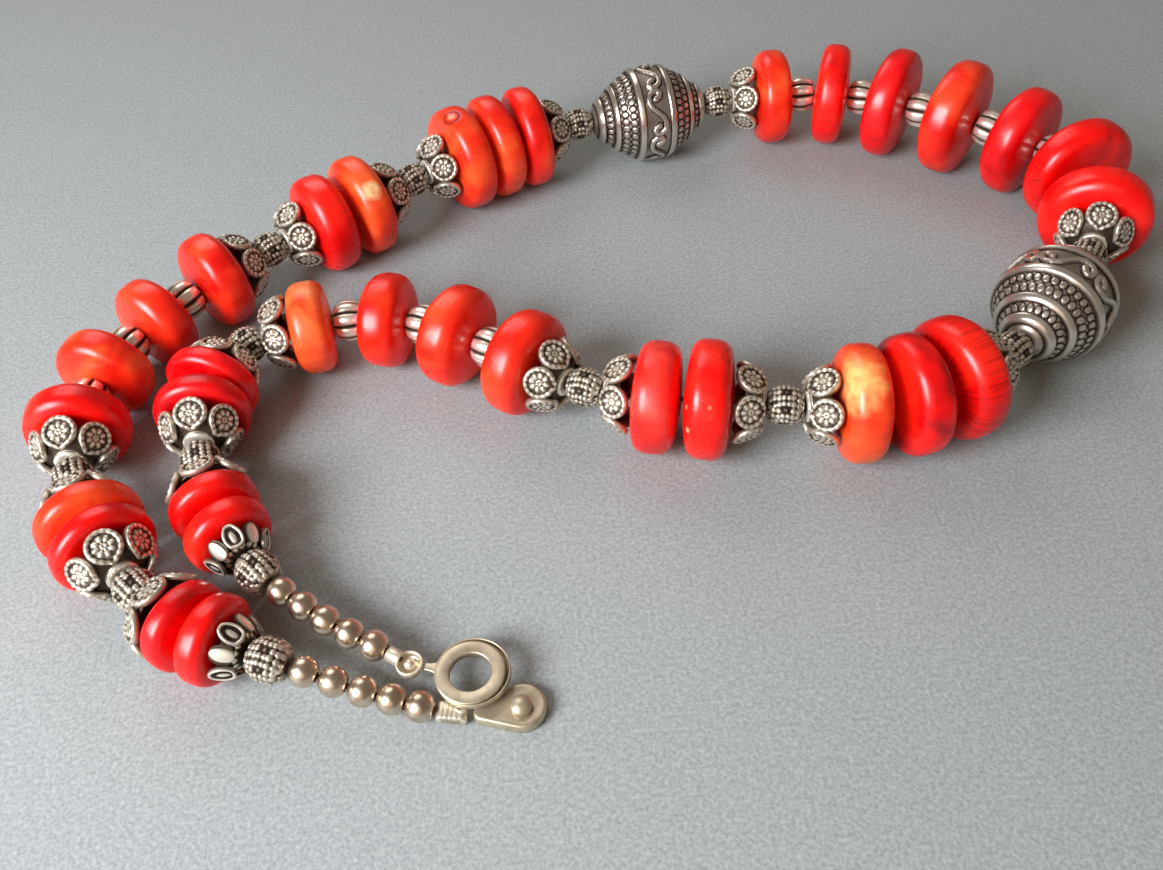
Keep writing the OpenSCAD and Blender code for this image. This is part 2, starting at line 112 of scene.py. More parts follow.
trackPoints = [Vector(p) + Vector(strand["centring"]) for p in route]
track = []
for i in range(len(route) - 1):
    a, b, c, d = (trackPoints[max(0, min(len(route) - 1, i + k))] for k in (-1, 0, 1, 2))
    for k in range(strand["routeSteps"] + (1 if i == len(route) - 2 else 0)):
        t = k / strand["routeSteps"]
        track.append(
            0.5 * (2 * b + t * (c - a) + t * t * (2 * a - 5 * b + 4 * c - d)
                   + t ** 3 * (3 * b - a - 3 * c + d))
        )
run = [0.0]
for a, b in zip(track, track[1:]):
    run.append(run[-1] + (b - a).length)


def lookUp(s, keys, values):
    if s <= keys[0]:
        return values[0]
    if s >= keys[-1]:
        return values[-1]
    k = bisect.bisect_right(keys, s)
    share = (s - keys[k - 1]) / (keys[k] - keys[k - 1])
    return values[k - 1] + share * (values[k] - values[k - 1])


def heading(a, b):
    d = lookUp(b, run, track) - lookUp(a, run, track)
    return atan2(d.y, d.x)


# each disc's outline: rounded edges with a short wall between them, and domed faces
forms = []
for across, thick in discs:
    edge, wall = edgeShare * thick, wallShare * thick
    reach, crown = across / 2 - edge, thick / 2 - wall
    dome = (reach ** 2 + crown ** 2 - edge ** 2) / (crown - edge) / 2
    forms.append({"radius": across / 2, "edge": edge, "wall": wall, "reach": reach, "dome": dome})


def domeDrop(k, r):
    return forms[k]["dome"] - sqrt(forms[k]["dome"] ** 2 - r * r)


def beadLength(letter, k):
    if letter == "D":
        return discs[k][1]
    seat = {"C": strand["capMouth"], "L": strand["lotusMouth"]}.get(letter)
    return lengths[letter] + (strand["seatGap"] - domeDrop(k, seat) if seat else 0)


discOf = [sum(u.count("D") for u in units[:i]) for i in range(len(units))]
unitLengths = [sum(beadLength(c, discOf[i]) for c in u) for i, u in enumerate(units)]


def endDome(letter, k):
    return forms[k]["dome"] if letter == "D" else domes.get(letter, otherDome)


starts = [0.0]
for i in range(len(units) - 1):
    end = starts[i] + unitLengths[i]
    ahead = end + 3 * strand["beadGap"]
    bend = heading(ahead, ahead + unitLengths[i + 1]) - heading(starts[i], end)
    bend = abs((bend + 3 * pi) % (2 * pi) - pi)
    last, first = units[i][-1], units[i + 1][0]
    a, b = endDome(last, discOf[i]), endDome(first, discOf[i + 1])
    opening = bend * bend * a * b / (a + b) / 2
    if "R" in (last, first):
        opening = strand["roundOpening"] * bend
    starts.append(end + strand["beadGap"] + opening)
ends = [s + length for s, length in zip(starts, unitLengths)]


# height of the axis in a unit that lies on the cloth; a large bead's follows disc k beside it
def standHeight(i, k):
    if "D" in units[i]:
        return forms[discOf[i]]["radius"]
    return bigRadius + strand["discPull"] * (forms[k]["radius"] - bigRadius)


heights = [(0, strand["ringEndHeight"]), (starts[5], strand["lastBarrelHeight"])]
for i, u in enumerate(units):
    if "D" in u or u == "G":
        heights.append((starts[i], standHeight(i, discOf[i] - 1)))
        heights.append((ends[i], standHeight(i, discOf[i])))
studRun, studRise = strand["studRise"]
heights += [
    (ends[-6], strand["lastBarrelHeight"]),
    (ends[-1] - studRun, strand["studEndHeight"] + studRise),
    (ends[-1], strand["studEndHeight"]),
]
heightKeys, heightValues = zip(*heights)


def axisAt(s):
    p = lookUp(s, run, track)
    return Vector((p.x, p.y, lookUp(s, heightKeys, heightValues)))


# turn round Z that brings +X to a way
def turnTo(way):
    return Matrix.Rotation(atan2(way.y, way.x), 4, "Z")


# the place at length s along unit i: +Z runs along the strand, or against it, and +X is down
def placeAt(i, s, back=False):
    way = axisAt(ends[i]) - axisAt(starts[i])
    way.normalize()
    place = (
        Matrix.Translation(axisAt(starts[i]) + way * (s - starts[i]))
        @ turnTo(way)
        @ Matrix.Rotation(pi / 2 - asin(way.z), 4, "Y")
    )
    return place @ Matrix.Rotation(pi, 4, "X") if back else place


def placesOf(letter):
    return [placeAt(i, (starts[i] + ends[i]) / 2) for i, u in enumerate(units) if u == letter]


def capPlaces(letter):
    found = [(i, u[0] == letter) for i, u in enumerate(units) if letter in u]
    return [placeAt(i, starts[i] if before else ends[i], before) for i, before in found]


print("strand laid out: %.1f mm" % ends[-1])


# Small helpers
def linear(hexColour):
    parts = [int(hexColour[i:i + 2], 16) / 255 for i in (1, 3, 5)]
    parts = [c / 12.92 if c < 0.04045 else ((c + 0.055) / 1.055) ** 2.4 for c in parts]
    return (*parts, 1)


# adds a node, sets what is given by name, fills a ramp's stops and links or sets its inputs;
# a node among the inputs stands for its first output
def addNode(tree, kind, inputs=None, stops=None, **settings):
    node = tree.nodes.new("ShaderNode" + kind)
    for key, value in settings.items():
        setattr(node, key, value)
    for k, (at, colour) in enumerate(stops or []):
        ramp = node.color_ramp
        stop = ramp.elements[k] if k < len(ramp.elements) else ramp.elements.new(at)
        stop.position = at
        stop.color = linear(colour) if isinstance(colour, str) else (colour, colour, colour, 1)
    for name, value in (inputs or {}).items():
        socket = node.inputs[name]
        if isinstance(value, bpy.types.Node):
            value = value.outputs[0]
        if isinstance(value, bpy.types.NodeSocket):
            tree.links.new(value, socket)
        else:
            socket.default_value = value
    return node


# empty material, what adds a node to it and the place on the piece in metres
def newMaterial(name):
    material = bpy.data.materials.new(name)
    material.use_nodes = True
    material.node_tree.nodes.clear()
    add = functools.partial(addNode, material.node_tree)
    return material, add, add("TexCoord").outputs["Object"]


def addSurface(add, inputs):
    add("OutputMaterial", {"Surface": add("BsdfPrincipled", inputs)})


def perMm(size):
    return 1 / (size * mm)  # scale of a pattern on Object coordinates whose features are size mm


# turns a profile of (radius, z) points round Z
def spun(profile, steps, closed=True):
    bm = bmesh.new()
    verts = [bm.verts.new((r, 0, z)) for r, z in profile]
    loop = list(zip(verts, verts[1:])) + ([(verts[-1], verts[0])] if closed else [])
    edges = [bm.edges.new(pair) for pair in loop]
    bmesh.ops.spin(
        bm, geom=verts + edges, cent=(0, 0, 0), axis=(0, 0, 1), angle=2 * pi, steps=steps,
        use_merge=True,
    )
    bmesh.ops.remove_doubles(bm, verts=bm.verts, dist=1e-4)
    bmesh.ops.recalc_face_normals(bm, faces=bm.faces)
    return bm


# closed solid from rows of points, each with a relief shade; a row of one point closes an end
def lofted(rows, shades):
    bm = bmesh.new()
    layer = bm.verts.layers.float.new("relief")
    made = []
    for row, shade in zip(rows, shades):
        ring = [bm.verts.new(p) for p in row]
        for k, v in enumerate(ring):
            v[layer] = shade[k] if isinstance(shade, list) else shade
        made.append(ring if len(ring) > 1 else ring * max(len(r) for r in rows))
    count = max(len(r) for r in made)
    for a, b in zip(made, made[1:]):
        for j in range(count):
            m = (j + 1) % count
            bm.faces.new(list(dict.fromkeys([a[j], b[j], b[m], a[m]])))
    bmesh.ops.recalc_face_normals(bm, faces=bm.faces)
    return bm


# plate round a middle point: edgeAt(angle) gives its outline, reliefAt(x, y, edge) its height and
# shade, and bend(x, y, height) puts it in place
def plate(edgeAt, reliefAt, bend, shares, around, back):
    angles = [2 * pi * j / around for j in range(around)]
    rows, shades = [], []
    for share in shares:
        row, shade = [], []
        for angle in angles if share else [0.0]:
            edge = edgeAt(angle)
            x, y = edge * share * cos(angle), edge * share * sin(angle)
            height, tone = reliefAt(x, y, edge)
            row.append(bend(x, y, height))
            shade.append(tone)
        rows.append(row)
        shades.append(shade)
    rows.append([bend(edgeAt(a) * cos(a), edgeAt(a) * sin(a), back) for a in angles])
    rows.append([bend(0.0, 0.0, back)])
    return lofted(rows, shades + [0.5, 0.3])


# moves each vertex out from the axis as relief(radius, angle, z) says, and keeps its shade, 0 to 1
def carve(bm, relief):
    layer = bm.verts.layers.float.new("relief")
    for v in bm.verts:
        r = hypot(v.co.x, v.co.y)
        out, shade = relief(r, atan2(v.co.y, v.co.x), v.co.z)
        v[layer] = shade
        if r > 1e-6:
            v.co.x *= (r + out) / r
            v.co.y *= (r + out) / r


# bead from its upper collar, its side from top to bottom and the same collar below
def carvedBead(collar, side, around, relief):
    bm = spun(collar + side + [(r, -z) for r, z in reversed(collar)], around)
    carve(bm, relief)
    return bm


def toMesh(bm, name):
    mesh = bpy.data.meshes.new(name)
    bm.to_mesh(mesh)
    bm.free()
    return mesh


# adds a copy of a part to a whole at each place and lets go of the part
def addCopies(whole, part, places):
    mesh = toMesh(part, "part")
    for place in places:
        copy = mesh.copy()
        copy.transform(place)
        whole.from_mesh(copy)
        bpy.data.meshes.remove(copy)
    bpy.data.meshes.remove(mesh)


here = [Matrix.Identity(4)]


# even turns round Z
def turnsRound(count, first=0.0):
    return [Matrix.Rotation(first + 2 * pi * k / count, 4, "Z") for k in range(count)]


# one smooth piece from copies of a part at several places, turned from millimetres to metres
def placed(name, part, places, material, slot, *nodes):
    whole = bmesh.new()
    addCopies(whole, part, [Matrix.Scale(mm, 4) @ place for place in places])
    mesh = toMesh(whole, name)
    mesh.shade_smooth()
    mesh.materials.append(material)
    piece = bpy.data.objects.new(name, mesh)
    scene.collection.objects.link(piece)
    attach(piece, "root")
    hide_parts(*nodes)


def smoothStep(low, high, x):
    t = max(0.0, min(1.0, (x - low) / (high - low)))
    return t * t * (3 - 2 * t)


# height of a round ridge of half width w at distance d from its middle
def ridge(d, w):
    return sqrt(max(0.0, 1 - (d / w) ** 2))


# nearest of n even places round a circle: the signed angle to it and its number
def nearestOf(angle, n, turn=0.0):
    step = 2 * pi / n
    k = round((angle - turn) / step)
    return angle - turn - k * step, k % n


# Materials
# Cast white metal, silver plated and blackened, then rubbed bright on its raised parts: creamy
# highlights over brown-black hollows. The plating is worn and hazy, so it is only partly a mirror.
def antiqueSilver(name, look):
    material, add, place = newMaterial(name)
    relief = add("Attribute", attribute_name="relief").outputs["Fac"]
    tarnish = add("TexNoise", {
        "Vector": place, "Scale": perMm(look["tarnish"]), "Detail": 3.0, "Roughness": 0.6,
    })
    fine = add("TexNoise", {"Vector": place, "Scale": perMm(look["grain"])})
    patchy = add(
        "Math", {0: tarnish, 1: look["unevenness"], 2: -0.5 * look["unevenness"]},
        operation="MULTIPLY_ADD",
    )
    worn = add("Math", {0: relief, 1: patchy}, operation="ADD")
    colour = add(
        "ValToRGB", {"Fac": worn},
        stops=[
            (0.1, look["oxide"]), (0.3, look["shade"]), (0.5, look["middle"]),
            (0.8, look["bright"]),
        ],
    )
    rough = add("MapRange", {
        "Value": worn, "From Min": 0.1, "From Max": 0.8,
        "To Min": look["dull"], "To Max": look["gloss"],
    })
    bump = add("Bump", {"Height": fine, "Strength": look["cast"], "Distance": 0.05 * mm})
    addSurface(add, {
        "Base Color": colour, "Metallic": look["metal"], "Roughness": rough, "Normal": bump,
    })
    return material


silverLook = {
    "tarnish": 1.6,  # mm
    "grain": 0.16,  # mm, drawn coarser than real casting grain so that it shows
    "unevenness": 0.35,
    "oxide": "#261C16", "shade": "#5E5044", "middle": "#B6AA96", "bright": "#FAF3E6",
    "metal": 0.72, "dull": 0.6, "gloss": 0.27, "cast": 0.3,
}
antique = antiqueSilver("antiqueSilverCasting", silverLook)
bronzedLook = dict(
    silverLook, oxide="#241A15", shade="#574B43", middle="#9A8F84", bright="#DAD2C8", metal=0.9,
    gloss=0.22,
)
darkAntique = antiqueSilver("antiqueSilverBronzed", bronzedLook)


# Silver plated brass beads, polished: nearly a mirror, with a warm brown lacquer tint
def polishedSilver(name):
    material, add, place = newMaterial(name)
    haze = add("TexNoise", {"Vector": place, "Scale": perMm(1.2), "Detail": 3.0})
    colour = add("ValToRGB", {"Fac": haze}, stops=[(0.3, "#C8B298"), (0.7, "#E8DAC8")])
    rough = add("MapRange", {"Value": haze, "To Min": 0.24, "To Max": 0.34})
    addSurface(add, {"Base Color": colour, "Metallic": 1.0, "Roughness": rough})
    return material


polished = polishedSilver("polishedSilverPlate")


# Stamped sheet brass with a matt champagne wash: soft sheen, fine rolling lines, a little cloudy
def stampedSheet(name, low, high):
    material, add, place = newMaterial(name)
    stretched = add("Mapping", {"Vector": place, "Scale": (1.0, 0.12, 1.0)})
    lines = add("TexNoise", {"Vector": stretched, "Scale": perMm(0.25), "Detail": 3.0})
    cloud = add("TexNoise", {"Vector": place, "Scale": perMm(2.0), "Detail": 3.0})
    colour = add("ValToRGB", {"Fac": cloud}, stops=[(0.3, low), (0.7, high)])
    rough = add("MapRange", {"Value": lines, "To Min": 0.28, "To Max": 0.46})
    bump = add("Bump", {"Height": lines, "Strength": 0.15, "Distance": 0.02 * mm})
    addSurface(add, {"Base Color": colour, "Metallic": 0.7, "Roughness": rough, "Normal": bump})
    return material


champagne = stampedSheet("stampedChampagneBrass", "#AC9E84", "#CEC1A6")
brightChampagne = stampedSheet("stampedPaleBrass", "#D2C6AE", "#F6ECD8")


# Waxed nylon beading thread, dull and brown
def waxedThread(name):
    material, add, place = newMaterial(name)
    fibre = add("TexNoise", {"Vector": place, "Scale": perMm(0.2)})
    colour = add("ValToRGB", {"Fac": fibre}, stops=[(0.3, "#4A2A1C"), (0.7, "#7A4A34")])
    bump = add("Bump", {"Height": fibre, "Strength": 0.5, "Distance": 0.05 * mm})
    addSurface(add, {"Base Color": colour, "Roughness": 0.7, "Normal": bump})
    return material


# Bamboo coral, cut into discs, dyed and waxed: deep translucent red to orange with paler blotches,
# fine grain lines that run from the hole outwards and over the rim, small pores and hairline cracks
def dyedCoral(name, look):
    material, add, _ = newMaterial(name)
    place = add("Attribute", attribute_name="discPlace").outputs["Vector"]
    moved = add("Mapping", {"Vector": place, "Location": look["seed"]})
    # blotches of dye
    blotch = add("TexNoise", {
        "Vector": moved, "Scale": look["blotches"], "Roughness": 0.45,
        "Distortion": 0.7,
    })
    dyed = add(
        "ValToRGB", {"Fac": blotch},
        stops=[(0.36, look["deep"]), (0.5, look["main"]), (0.68, look["pale"])],
    )
    # grain: the direction from the axis sets the line, so that lines run outwards and over the rim
    flat = add("VectorMath", {0: place, 1: (1.0, 1.0, 0.0)}, operation="MULTIPLY")
    ray = add("VectorMath", {0: flat}, operation="NORMALIZE")
    across = add("VectorMath", {0: moved, 1: (0.05, 0.05, 0.05)}, operation="MULTIPLY")
    grainPlace = add(
        "VectorMath", {0: ray, 1: (look["rays"],) * 3, 2: across}, operation="MULTIPLY_ADD"
    )
    grain = add("TexNoise", {"Vector": grainPlace, "Scale": 1.0, "Detail": 3.0})
    grainShade = add("ValToRGB", {"Fac": grain}, stops=[(0.35, 0.55), (0.6, 1.0)])
    grained = add(
        "Mix", {"Factor": look["grain"], 6: dyed, 7: grainShade},
        data_type="RGBA", blend_type="MULTIPLY",
    ).outputs[2]

    def distanceTo(angle, r, z):
        a = radians(angle)
        return add(
            "VectorMath", {0: place, 1: (r * cos(a), r * sin(a), z)},
            operation="DISTANCE",
        ).outputs["Value"]

    # cream patches where the dye has not taken
    spot = 0.0
    for angle, r, z, size, strength in look["spots"]:
        one = add("MapRange", {
            "Value": distanceTo(angle, r, z), "From Min": 0.3 * size, "From Max": size,
            "To Min": strength, "To Max": 0.0,
        })
        spot = add("Math", {0: spot, 1: one}, operation="MAXIMUM")
    edge = add("TexNoise", {"Vector": moved, "Scale": 0.6, "Detail": 3.0})
    spotted = add("Math", {0: spot, 1: edge}, operation="MULTIPLY")
    creamAmount = add(
        "MapRange", {"Value": spotted, "From Min": 0.12, "From Max": 0.5, "To Max": 0.95}
    )
    creamed = add(
        "Mix", {"Factor": creamAmount, 6: grained, 7: linear(look["cream"])}, data_type="RGBA"
    ).outputs[2]
    # pores: one small dark dot to a cell, in the few cells that chance picks
    cells = add("TexVoronoi", {"Vector": moved, "Scale": look["poreCells"]})
    poreSize = add("MapRange", {
        "Value": cells.outputs["Distance"], "From Min": 0.05, "From Max": 0.11,
        "To Min": 1.0, "To Max": 0.0,
    })
    chance = add("SeparateColor", {"Color": cells.outputs["Color"]})
    chosen = add("Math", {0: chance, 1: 1 - look["pores"]}, operation="GREATER_THAN")
    pore = add("Math", {0: poreSize, 1: chosen}, operation="MULTIPLY")
    # hairline cracks along the edges of large warped cells, where a broad noise lets them through
    warp = add("TexNoise", {"Vector": moved, "Scale": 0.5}).outputs["Color"]
    warped = add("VectorMath", {0: warp, 1: (1.8, 1.8, 1.8), 2: moved}, operation="MULTIPLY_ADD")
    seams = add(
        "TexVoronoi", {"Vector": warped, "Scale": look["crackCells"]}, feature="DISTANCE_TO_EDGE"
    ).outputs["Distance"]
    hair = add("MapRange", {
        "Value": seams, "From Min": 0.002, "From Max": 0.012, "To Min": 1.0, "To Max": 0.0,
    })
    openHere = add("MapRange", {
        "Value": edge, "From Min": 0.62 - look["cracks"], "From Max": 0.72 - look["cracks"],
    })
    crack = add("Math", {0: hair, 1: openHere}, operation="MULTIPLY")
    flaw = add("Math", {0: pore, 1: crack}, operation="MAXIMUM")
    for angle, r, z, size, width in look["rings"]:
        off = add("Math", {0: distanceTo(angle, r, z), 1: size}, operation="SUBTRACT")
        off = add("Math", {0: off}, operation="ABSOLUTE")
        ring = add("MapRange", {"Value": off, "From Max": width, "To Min": 0.95, "To Max": 0.0})
        flaw = add("Math", {0: flaw, 1: ring}, operation="MAXIMUM")
    colour = add(
        "Mix", {"Factor": flaw, 6: creamed, 7: linear(look["flaw"])}, data_type="RGBA"
    ).outputs[2]
    # surface: waxed and rubbed, a little uneven
    polish = add("TexNoise", {"Vector": moved, "Scale": 0.35, "Detail": 3.0})
    rough = add("MapRange", {
        "Value": polish, "From Min": 0.3, "From Max": 0.7,
        "To Min": look["gloss"], "To Max": look["dull"],
    })
    lines = add("Math", {0: grain, 1: 0.35, 2: polish}, operation="MULTIPLY_ADD")
    low = add("Math", {0: flaw, 1: -1.0, 2: lines}, operation="MULTIPLY_ADD")
    bump = add("Bump", {"Height": low, "Strength": 0.35, "Distance": 0.12 * mm})
    addSurface(add, {
        "Base Color": colour, "Roughness": rough, "Normal": bump, "IOR": 1.5,
        "Subsurface Weight": look["glow"], "Subsurface Radius": (1.0, 0.15, 0.08),
        "Subsurface Scale": look["glowDepth"] * mm,
    })
    return material


# Coral discs
coralDyes = {
    "red": {"deep": "#DC0404", "main": "#FC0804", "pale": "#FF2412", "grain": 0.25},
    "deepRed": {"deep": "#C40008", "main": "#EE060E", "pale": "#FA1A1A", "grain": 0.2},
    "vermilion": {"deep": "#E61A08", "main": "#FA3210", "pale": "#FF5C2A", "grain": 0.25},
    "scarlet": {"deep": "#DE0F05", "main": "#FB2A10", "pale": "#FD4A24", "grain": 0.25},
    "orange": {"deep": "#EA2A0A", "main": "#FC4E1E", "pale": "#FF7C40", "grain": 0.25},
}
coralBase = {
    "cream": "#FFD9A0", "flaw": "#5C0A08",  # patches without dye; pores, cracks and scale
    "blotches": 0.11, "poreCells": 0.45, "crackCells": 0.13,  # to a millimetre
    "rays": 9.0, "pores": 0.06, "cracks": 0.0, "gloss": 0.24, "dull": 0.36,
    "glow": 0.35, "glowDepth": 2.4,  # share of the light that goes in, and how far, in mm
    # cream patches: angle round the disc, distance from its axis, z, radius, strength
    "spots": [],
    # rings of dark scale: angle, distance, z, radius, half width
    "rings": [],
}
coralColours = (
    "red red deepRed deepRed orange scarlet scarlet scarlet scarlet red orange red red red red "
    "deepRed scarlet deepRed red vermilion scarlet vermilion vermilion orange red scarlet scarlet "
    "vermilion red vermilion red deepRed red"
).split()
# what single discs change, by number
coralMarks = {
    9: {"deep": "#DE1210", "main": "#F8241C", "pale": "#FF4C40"},
    10: {
        "pores": 0.2, "cracks": 0.14,
        "spots": [
            (-103, 8.0, -2.6, 0.7, 0.7), (-127, 7.4, -2.9, 0.6, 0.5), (-129, 8.8, 0.3, 0.5, 0.5),
        ],
    },
    11: {"cream": "#FFC878", "spots": [(-158, 7.6, -2.2, 6.2, 0.8), (-156, 6.8, -3.0, 3.0, 1.0)]},
    12: {"deep": "#980006", "main": "#EA0608"},
    13: {"grain": 0.9, "rays": 22.0},
    23: {"rings": [(176, 9.3, 1.3, 1.45, 0.42)], "spots": [(176, 9.3, 1.3, 1.3, 0.5)]},
    24: {"spots": [(136, 8.7, 0.2, 2.4, 1.0)]},
}
discShape = {
    "bore": 0.9, "around": 72, "face": 9, "edge": 8, "smoothing": 2,
    # hand-ground: a little flat here and there, never fuller than the solid
    "unevenness": 0.2, "dents": 0.16, "fullest": 0.55,
}


def coralDisc(number):
    k = number - 1
    i = next(j for j, u in enumerate(units) if "D" in u and discOf[j] == k)
    half = discs[k][1] / 2
    edge, wall, reach, dome = (forms[k][part] for part in ("edge", "wall", "reach", "dome"))
    # from the bore over the face, round the edge and down the wall to its middle
    tangent = atan2(reach, wall - half + dome)
    face = []
    for j in range(discShape["face"]):
        share = j / discShape["face"]
        r = discShape["bore"] + (dome * sin(tangent) - discShape["bore"]) * share
        face.append((r, half - dome + sqrt(dome ** 2 - r * r)))
    for j in range(discShape["edge"] + 1):
        a = tangent + (pi / 2 - tangent) * j / discShape["edge"]
        face.append((reach + edge * sin(a), wall + edge * cos(a)))
    face.append((forms[k]["radius"], 0.0))
    for _ in range(discShape["smoothing"]):
        face = [face[0]] + [
            ((a[0] + 2 * b[0] + c[0]) / 4, (a[1] + 2 * b[1] + c[1]) / 4)
            for a, b, c in zip(face, face[1:], face[2:])
        ] + [face[-1]]
    bm = spun(face + [(r, -z) for r, z in reversed(face[:-1])], discShape["around"])
    middle = starts[i] + half if units[i][0] == "D" else ends[i] - half
    swivel = radians(discSwivels.get(number, 0))
    place = placeAt(i, middle) @ Matrix.Rotation(swivel, 4, "X")
    dye = coralColours[k]
    seed = Vector((number * 7.3, number * 3.1, number * 5.7))
    look = {**coralBase, **coralDyes[dye], **coralMarks.get(number, {}), "seed": seed}
    where = bm.verts.layers.float_vector.new("discPlace")
    for v in bm.verts:
        v[where] = v.co
        bulge = noise.noise((v.co + seed) * discShape["dents"]) - discShape["fullest"]
        v.co += v.co.normalized() * min(0.0, discShape["unevenness"] * bulge)
    material = dyedCoral("dyedCoral%02d" % number, look)
    slot = "coral_orange" if dye == "orange" else "coral_red"
    placed("coralDisc%02d" % number, bm, [place], material, slot, "coral_%02d" % number)


for number in range(1, len(discs) + 1):
    coralDisc(number)
print("coral discs made")

# Scroll caps: six petals on a flared cup
scrollCap = {
    # the petals' middles, their slope and their bend towards the neck
    "petals": 6, "depth": 4.45, "reach": 4.75, "petalZ": 2.4, "flare": 26,
    "bendStart": -1.2, "bendRadius": 1.3, "bendAngle": 70,
    # one petal: radius, length of its tail, thickness, roped rim
    "petal": 2.38, "tail": 2.8, "plate": 0.58, "rim": 0.34, "rimHeight": 0.36, "ropeTurns": 15,
    # rosette: radius, seeds at a distance with half their length and width, the eye's ring
    "rosette": 1.62, "seeds": 8, "seedAt": 1.05, "seedLength": 0.54, "seedWidth": 0.38,
    "seedHeight": 0.3, "eyeAt": 0.28, "eyeWidth": 0.2,
    "around": 45,
    "rings": [0, 0.08, 0.15, 0.23, 0.31, 0.39, 0.47, 0.55, 0.63, 0.69, 0.75, 0.81, 0.87, 0.94, 1.0],
    # the cup behind the petals and its neck, bright on the collar beyond this radius and height
    "cup": [
        (0.78, -0.08), (1.3, -0.1), (1.7, -0.08), (2.0, -0.14), (2.2, -0.32), (2.2, -0.5),
        (2.05, -0.66), (2.2, -0.78), (2.6, -0.9), (3.3, -1.15), (3.9, -1.6), (4.35, -2.3),
        (4.6, -2.95), (4.35, -3.0), (3.95, -2.4), (3.3, -1.75), (2.4, -1.45), (0.78, -1.35),
    ],
    "cupSteps": 40, "collar": (1.2, -0.7),
}


# the cap's outline from the neck, u = -tail, to a petal's tip: place and outward normal at u
def capOutline(u):
    flare = radians(scrollCap["flare"])
    along = Vector((sin(flare), -cos(flare)))
    outward = Vector((cos(flare), sin(flare)))
    middle = Vector((scrollCap["reach"], scrollCap["petalZ"] - scrollCap["depth"]))
    bendStart = scrollCap["bendStart"]
    if u >= bendStart:
        return middle + along * u, outward
    # towards the neck the outline turns inwards on an arc and then runs nearly level
    arcRadius = scrollCap["bendRadius"]
    fullTurn = radians(scrollCap["bendAngle"])
    turn = min((bendStart - u) / arcRadius, fullTurn)
    start = middle + along * bendStart
    centre = start - outward * arcRadius
    rest = max(0.0, (bendStart - u) - arcRadius * fullTurn)
    n = Matrix.Rotation(turn, 2) @ outward
    level = Vector((-n.y, n.x))
    return centre + n * arcRadius + level * rest, n


# a roped rim, a dark groove and a rosette of seeds round a small eye
def petalRelief(x, y, edge):
    s = scrollCap
    r = hypot(x, y)
    angle = atan2(y, x)
    inward = edge - r
    if inward < 0.02:
        return 0.1, 0.6
    height, shade = 0.0, 0.32 if inward > 2.3 * s["rim"] else 0.1
    if inward < 2 * s["rim"]:
        rope = ridge(inward - s["rim"], s["rim"])
        twist = 0.5 + 0.5 * cos(s["ropeTurns"] * angle)
        height = s["rimHeight"] * rope * (0.6 + 0.4 * twist)
        shade = max(0.4 if inward < s["rim"] else shade, rope * (0.36 + 0.64 * twist))
    if r < s["rosette"]:
        turn, _ = nearestOf(angle, s["seeds"])
        across, outward = turn * max(r, 0.5) / s["seedWidth"], (r - s["seedAt"]) / s["seedLength"]
        seed = ridge(hypot(across, outward), 1.0)
        eye = ridge(r - s["eyeAt"], s["eyeWidth"]) * 0.85
        lump = max(seed, eye)
        height = max(height, s["seedHeight"] * lump)
        shade = max(shade, 0.82 * lump)
    return height, shade


def scrollPetal():
    s = scrollCap
    meet = acos(s["petal"] / s["tail"])

    def edgeAt(angle):
        fromTail = abs(pi - angle)
        return s["petal"] / cos(meet - fromTail) if fromTail < meet else s["petal"]

    def bend(x, y, height):
        p, n = capOutline(x)
        return Vector((p.x + n.x * height, y, p.y + n.y * height))

    return plate(edgeAt, petalRelief, bend, s["rings"], s["around"], -s["plate"])


def collarRelief(r, angle, z):
    collarRadius, collarZ = scrollCap["collar"]
    return 0.0, 0.85 if r > collarRadius and z > collarZ else 0.24


# kinds of petals, each with the turns that it takes, round a carved cup
def capShape(look, petals, relief):
    whole = bmesh.new()
    for petal, turns in petals:
        addCopies(whole, petal, turns)
    cup = spun(look["cup"], look["cupSteps"])
    carve(cup, relief)
    addCopies(whole, cup, here)
    return whole


cap = capShape(scrollCap, [(scrollPetal(), turnsRound(scrollCap["petals"]))], collarRelief)
placed("scrollCaps", cap, capPlaces("C"), antique, "antique_silver", "scroll_caps")
print("scroll caps made")

# Lotus caps: eight petals, engraved and smooth in turn, round a ring of small balls
lotusCap = {
    "pairs": 4, "depth": 3.0, "reach": 3.75, "middleZ": 1.75, "tilt": 63, "plate": 0.52,
    # a petal is where two shifted circles and a third, that rounds its ends, overlap
    "lens": 2.4, "lensShift": 1.1, "clips": {"engraved": 1.7, "smooth": 1.55}, "clipShift": 0.2,
    # engraved petals: rim (distance from the edge, half width), oval (half length, half width)
    "rim": (0.2, 0.22), "oval": (0.95, 0.42), "engraving": 0.14,
    "crest": 0.36,  # height of the smooth petals' middle
    # balls round the neck: number, distance from the axis, radius, height
    "balls": 13, "ballsAt": 1.98, "ballRadius": 0.46, "ballHeight": 0.36,
    "neck": 1.4, "slopeEnd": -1.15, "slopeLength": 1.25,
    "around": 44,
    "rings": [0, 0.12, 0.24, 0.34, 0.44, 0.52, 0.6, 0.68, 0.76, 0.84, 0.92, 1.0],
    "cup": [
        (0.78, -0.1), (1.1, -0.2), (1.4, -0.35), (1.55, -0.45), (1.7, -0.56), (1.85, -0.67),
        (2.0, -0.78), (2.15, -0.88), (2.3, -0.98), (2.45, -1.09), (2.6, -1.2), (3.1, -1.6),
        (3.65, -2.1), (3.2, -2.25), (2.2, -1.6), (0.78, -1.2),
    ],
    "cupSteps": 91,
}


